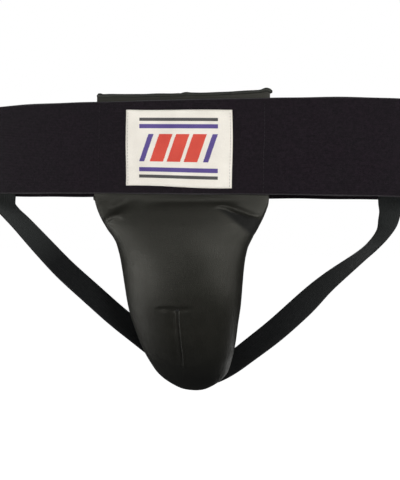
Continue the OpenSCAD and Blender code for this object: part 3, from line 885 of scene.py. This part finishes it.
def build_lining():
    """Lining cloth inside the cup and over the panel's back, with a lip round its edge."""
    full = 10.2  # how far inside the rear edge it starts, in the cup
    end = end_of(full)
    us = line_positions(0.05, end, 2.2, 20)
    inset = 4.9 + 5.3 * smooth(us, 4.4, 5.9)
    vs = np.concatenate([np.linspace(-1, -WALL_V, 8)[:-1], np.linspace(-WALL_V, WALL_V, 91),
                         np.linspace(WALL_V, 1, 8)[1:]])
    face = body_grid(us, vs, inset[:, None], 0.4, 4.0)
    back = body_grid(us, vs, inset[:, None] + 1.0, 0.4, 4.0)
    # a lip turns outwards over the rim cushion to meet the piping
    u = us[:, None]
    tip = tip_part(np.minimum(us, end), end)[:, None]
    width = spline(STATIONS, us)[:, 2][:, None]
    reach = np.array([[3.6, 5.2, 6.8, 8.4, 9.6]])
    height = np.array([[0.3, -0.7, -1.1, -0.8, -0.1]])
    cup_part = smooth(us, 4.9, 5.7)[:, None]
    ins = np.minimum(reach, inset[:, None] * reach / full)
    w = (width - ins) * np.maximum(tip, 0.05)
    depth = rim_depth(us)[:, None] + height * np.maximum(cup_part, 0.25) - 0.3
    uu = u * np.ones_like(w)
    uu = uu + (9.9 - reach) / STEP_U * smooth(uu, end - TIP_LEN, end)

    def lipped(middle, depth):
        return np.concatenate([on_body(uu, -w, depth), middle, on_body(uu, w, depth)[:, ::-1]], 1)

    outer, inner = lipped(face, depth - 1.0), lipped(back, depth)
    ripple = 0.25 * np.sin(inner[..., 0] / 8.0) * np.sin(inner[..., 2] / 10.0)
    inner[..., 1] += np.where(inner[..., 2] < -70, ripple, 0)
    o = shell("cup_lining_cloth", outer, inner, LINING_MAT)
    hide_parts("cup_lining", "panel_lining")
    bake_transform(o)


def build_piping():
    inset = 2.5
    start = 4.3
    down = line_positions(start, end_of(inset), 2.5, 20)
    u = np.concatenate([down, down[:-1][::-1]])
    side = np.concatenate([-np.ones(len(down)), np.ones(len(down) - 1)])
    w = (spline(STATIONS, u)[:, 2] - inset) * tip_part(u, end_of(inset))
    line = on_body(u, side * w, rim_depth(u) - 2.4)
    d = line_dir(u)
    into = np.stack([np.zeros(len(u)), -d[:, 1], d[:, 0]], -1)
    end_fade = 0.55 + 0.45 * smooth(np.minimum(np.arange(len(u)), np.arange(len(u))[::-1]), 0, 4)
    o = ring_sweep("rear_edge_piping", tube_rings(line, into, 2.3 * end_fade, 2.3 * end_fade, 16),
                   EDGE_MAT)
    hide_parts("cup_piping")
    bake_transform(o)


def top_rise(x):
    """How far the panel's top edge stands above its plain height: uneven, with small ears."""
    ears = 0.8 * bump_at(x, -81.5, 2.2) + 1.3 * bump_at(x, 80.0, 3.4) + 1.3 * smooth(x, 36, 78)
    middle = 0.6 * bump_at(x, 5, 3.2) - 0.4 * bump_at(x, 0, 1.2)
    return ears + middle + 0.9 * smooth(-x, 30, 80) + 0.12 * np.sin(x / 6.0)


def build_top_roll():
    """The rolled top edge of the panel, with its small corner ears."""
    x = np.linspace(-84.4, 86.0, 171)
    k = np.abs(x) / 84.5
    line = np.stack([x, -35.7 + 2.4 + 1.0 * k ** 2, 49.4 + top_rise(x)], 1)
    side = np.tile([0.0, 1.0, 0.0], (len(x), 1))
    taper = 0.45 + 0.55 * smooth(np.minimum(x + 84.7, 86.3 - x), 0, 2.4)
    high = 2.1 + 0.12 * np.sin(x / 4.3) + 0.5 * bump_at(x, 81, 3) + 0.4 * bump_at(x, -82, 2)
    deep = 3.4 + 0.15 * np.sin(x / 5.1 + 1)
    o = ring_sweep("panel_top_roll", tube_rings(line, side, deep * taper, high * taper, 22),
                   EDGE_MAT)
    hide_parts("panel_top_binding")
    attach(o, "waistband")


def build_dart(surface):
    """Stitches and bar tack of the dart, laid on the cover's own surface."""
    g, n = surface[0], surface[1]
    pts, nor = g.reshape(-1, 3), n.reshape(-1, 3)

    def on_cover(x, z):
        k = np.argmin((pts[:, 0] - x) ** 2 + (pts[:, 2] - z) ** 2 + 1e3 * (nor[:, 1] > 0.3))
        return pts[k], nor[k]

    line = np.array(DART, float)
    spots = []
    for t in np.linspace(0.15, len(line) - 1.2, 19):
        i = int(t)
        x, z = line[i] + (t - i) * (line[i + 1] - line[i])
        p, nn = on_cover(x, z)
        along = on_cover(x, z - 2)[0] - on_cover(x, z + 2)[0]
        spots.append((p + nn * 0.05, along, nn))
    o = stitches("dart_threads", spots, DARK_THREAD, "cup", length=2.6, radius=0.24)
    tack = []
    for k in np.linspace(-1.2, 1.2, 5):
        p, nn = on_cover(DART[0][0] + k, DART[0][1] + 0.6)
        tack.append((p + nn * 0.3, (0.15, 0, 1), nn))
    b = stitches("dart_bar_tack", tack, DARK_THREAD, "cup", length=2.4, radius=0.34)
    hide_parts("dart_stitching")


# ---- straps
def strap_frames(line, wide, n):
    u = np.linspace(0, len(line) - 1, n * 6)
    s = lengths(spline(line, u))
    t = np.linspace(0, s[-1], n)
    uu = np.interp(t, s, u)
    p = spline(line, uu)
    d = unit(spline(line, uu + 0.05) - spline(line, uu - 0.05))
    raw = spline(wide, uu)
    x = unit(raw - (raw * d).sum(1, keepdims=True) * d)
    return p, x, np.cross(d, x), t


def build_strap(name, node, line, wide):
    n = 170
    p, x, out, t = strap_frames(line, wide, n)
    # an even softening of the listed line
    for _ in range(6):
        p[1:-1] = (p[:-2] + 2 * p[1:-1] + p[2:]) / 4
    across = np.linspace(-1, 1, 17)
    half_t = STRAP_T / 2 * np.sqrt(np.maximum(1 - np.abs(across) ** 8, 0.12))
    cup = 0.5 * (across ** 2 - 0.4) * (1 - smooth(t, 250, 330))[:, None]
    c = across[None] * STRAP_W / 2

    # inside the waistband the strap lies along the loop
    s0 = loop_s_near(line[0, 0], line[0, 1] + 2)
    step = -1 if (loop_at(s0 + 1)[0] - loop_at(s0)[0]) @ wide[0, :2] < 0 else 1
    lp, ln = loop_at(s0 + step * c[0])
    inner = band_lift(s0 + step * c[0], p[:, 2:3] * np.ones_like(c)) - BAND_T - 0.25 - STRAP_T / 2
    hug = 1 - smooth(-p[:, 2], 40, 62)
    sheets = []
    for side in (1, -1):
        free = (p[:, None] + x[:, None] * c[..., None]
                + out[:, None] * (cup + side * half_t[None])[..., None])
        outward = np.sign((out[:, :2] * ln[8]).sum(1))[:, None]
        q = inner + outward * side * half_t[None]
        held = np.concatenate([lp[None] + ln[None] * q[..., None],
                               p[:, 2][:, None, None] * np.ones((1, 17, 1))], -1)
        k = hug[:, None, None]
        sheets.append(held * k + free * (1 - k))
    uv = np.stack(np.broadcast_arrays(t[:, None] * MM, c * MM), -1)
    o = shell(name, sheets[0], sheets[1], STRAP_MAT, uv)
    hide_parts(node)
    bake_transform(o)
    return sheets


def build_strap_tacks(sheets, name, node):
    """Boxed rows that sew the strap's upper end inside the band, on its inner face."""
    a, b = sheets
    mid_a, mid_b = a[4, 8], b[4, 8]
    face = a if np.hypot(*mid_a[:2]) < np.hypot(*mid_b[:2]) else b
    other = b if face is a else a
    spots = []
    for row in (3, 9):
        for k in range(1, 16, 2):
            c = face[row, k]
            nn = unit(face[row, k] - other[row, k])
            spots.append((c, face[row, k + 1] - face[row, k - 1], nn))
    for col in (1, 15):
        for row in (4, 6, 8):
            nn = unit(face[row, col] - other[row, col])
            spots.append((face[row, col], face[row + 1, col] - face[row - 1, col], nn))
    o = stitches(name, spots, DARK_THREAD, "waistband", length=2.5, radius=0.28)
    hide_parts(node)


# ---- anchor tab
def anchor_axes():
    d = line_dir(np.array(TIP_U))
    along = np.array([0, d[0], d[1]])
    up = np.array([0, -d[1], d[0]])
    centre = on_body(np.array(TIP_U), 0.0, rim_depth(np.array(TIP_U)) / 2 + TAB_RISE)
    return centre, along, up


def build_anchor():
    centre, along, up = anchor_axes()
    w, h, t = TAB_W, TAB_H, TAB_T
    # a folded tab: up behind the straps, round below them, and up again over them
    xs = np.linspace(-1, 1, 45)
    inner_face, outer_face = 1.2, 5.4
    path = []
    for v in np.linspace(1, -0.78, 14):
        path.append((inner_face + t / 2, v * h / 2))
    r = (outer_face - inner_face) / 2
    mid = inner_face + t / 2 + r
    for a in np.linspace(0, math.pi, 11)[1:-1]:
        path.append((mid - r * math.cos(a), -0.78 * h / 2 - r * math.sin(a) * 0.9))
    for v in np.linspace(-0.78, 0.86, 12):
        path.append((outer_face + t / 2, v * h / 2))
    path = np.array(path)
    tangent = unit(np.gradient(path, axis=0))
    normal = np.stack([-tangent[:, 1], tangent[:, 0]], -1)
    half = t / 2 * 0.85

    def lay(side):
        rows = []
        for i, (a, b) in enumerate(path):
            a2, b2 = np.array([a, b]) + side * half * normal[i]
            narrow = 1 - 0.10 * smooth(abs(i - 17), 8, 17)
            x = xs * w / 2 * narrow
            bow = 1.0 * (np.abs(xs) ** 2.2)
            rows.append(centre + np.outer(x, [1, 0, 0]) + np.outer(a2 - bow, along)
                        + np.outer(np.full(len(xs), b2), up))
        return np.array(rows)

    o = shell("strap_anchor_tab", lay(1), lay(-1), TAB_MAT)
    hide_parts("strap_anchor")
    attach(o, "cup")
    spots = []
    for row in (-3.4, 3.8):
        for x in np.arange(-11.2, 11.3, 2.8):
            bow = 1.0 * (abs(x) / (w / 2)) ** 2.2
            c = centre + np.array([x, 0, 0]) + along * (outer_face + t * 0.93 - bow) + up * row
            spots.append((c, (1, 0, 0), along))
    q = stitches("anchor_threads", spots, DARK_THREAD, "cup", length=2.6, radius=0.3)
    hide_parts("anchor_stitching")


build_waistband()
build_join()
build_label()
build_panel_rows()
surface = cover_surface()
build_cover(surface)
build_foam(surface)
build_lining()
build_piping()
build_top_roll()
build_dart(surface)
left = build_strap("leg_strap_left_elastic", "leg_strap_left", LEFT_LINE, LEFT_WIDE)
right = build_strap("leg_strap_right_elastic", "leg_strap_right", RIGHT_LINE, RIGHT_WIDE)
build_strap_tacks(left, "strap_threads_left", "strap_stitching_left")
build_strap_tacks(right, "strap_threads_right", "strap_stitching_right")
build_anchor()


# ---- camera, floor and light
CAMERA_YAW, CAMERA_ROLL = math.radians(12.0), math.radians(-1.25)
CAMERA_PLACE = Vector((0.1501, -0.6399, -0.0872))
CAMERA_LENS = 49.5
FLOOR_Z, FLOOR_HALF = -0.75, 30


def build_camera():
    yaw, roll = CAMERA_YAW, CAMERA_ROLL
    ahead = Vector((-math.sin(yaw), math.cos(yaw), 0))
    right_ = Vector((math.cos(yaw), math.sin(yaw), 0))
    up = Vector((0, 0, 1))
    r = right_ * math.cos(roll) - up * math.sin(roll)
    u = right_ * math.sin(roll) + up * math.cos(roll)
    data = bpy.data.cameras.new("camera")
    data.sensor_width = 36.0
    data.lens = CAMERA_LENS
    data.clip_start = 0.01
    data.clip_end = 50.0
    cam = linked("camera", data)
    m = Matrix((r, u, -ahead)).transposed().to_4x4()
    m.translation = CAMERA_PLACE
    cam.matrix_world = m
    bpy.context.scene.camera = cam


# softboxes around the cup: name, azimuth and elevation from its front, reach, size, watts
LIGHTS = (
    ("left_low", -54, -20, 1.5, (0.5, 0.5), 11.2),
    ("left_side", -46, 4, 1.5, (0.35, 0.5), 3.7),
    ("left_under", -84, -38, 0.9, (0.3, 0.3), 1.1),
    ("right_low", 42, -20, 1.5, (0.4, 0.5), 6.6),
    ("right_side", 34, 14, 1.5, (0.26, 0.4), 9),
    ("right_far", 76, -14, 1.5, (0.4, 0.5), 5),
    ("right_high", 40, 30, 1.5, (0.5, 0.5), 4),
    ("front_high", 0, 26, 1.5, (0.7, 0.5), 3.6),
    ("behind_right", 152, -36, 0.9, (0.3, 0.3), 0.65),
    ("back", 178, 32, 1.5, (1.0, 0.6), 7),
)
LIGHT_AIM = Vector((0, 0, -0.12))
WORLD_LIGHT = 0.05


def area_light(name, azimuth, elevation, reach, size, power):
    a, e = math.radians(azimuth), math.radians(elevation)
    way = Vector((math.sin(a) * math.cos(e), -math.cos(a) * math.cos(e), math.sin(e)))
    data = bpy.data.lights.new(name, "AREA")
    data.shape = "RECTANGLE"
    data.size, data.size_y = size
    data.energy = power
    o = linked(name, data)
    o.location = LIGHT_AIM + way * reach
    o.rotation_euler = (-way).to_track_quat("-Z", "Y").to_euler()


def build_stage():
    m = Nodes("pale_floor")
    n = m.noise(3, 2)
    m.finish(m.mix(m.span(n, 0.3, 0.7), (0.90, 0.90, 0.90), (0.92, 0.92, 0.92)), 0.85,
             Emission_Color=(1, 1, 1, 1), Emission_Strength=0.97)
    me = bpy.data.meshes.new("floor")
    corners = ((-1, -1), (1, -1), (1, 1), (-1, 1))
    me.from_pydata([(x * FLOOR_HALF, y * FLOOR_HALF, FLOOR_Z) for x, y in corners], [],
                   [(0, 1, 2, 3)])
    floor = linked("floor", me)
    me.materials.append(m.mat)
    floor.visible_diffuse = False
    floor.visible_glossy = False

    world = bpy.data.worlds.new("studio")
    world.use_nodes = True
    tree = world.node_tree
    tree.nodes.clear()
    out = tree.nodes.new("ShaderNodeOutputWorld")
    # white where the camera sees it, and a faint even light everywhere else
    seen, lit = (tree.nodes.new("ShaderNodeBackground") for _ in range(2))
    for background, strength in ((seen, 1.0), (lit, WORLD_LIGHT)):
        background.inputs["Color"].default_value = (1, 1, 1, 1)
        background.inputs["Strength"].default_value = strength
    mix = tree.nodes.new("ShaderNodeMixShader")
    path = tree.nodes.new("ShaderNodeLightPath")
    tree.links.new(path.outputs["Is Camera Ray"], mix.inputs[0])
    tree.links.new(lit.outputs[0], mix.inputs[1])
    tree.links.new(seen.outputs[0], mix.inputs[2])
    tree.links.new(mix.outputs[0], out.inputs["Surface"])
    bpy.context.scene.world = world

    for row in LIGHTS:
        area_light(*row)


build_camera()
build_stage()
bpy.context.scene.view_settings.view_transform = "Standard"
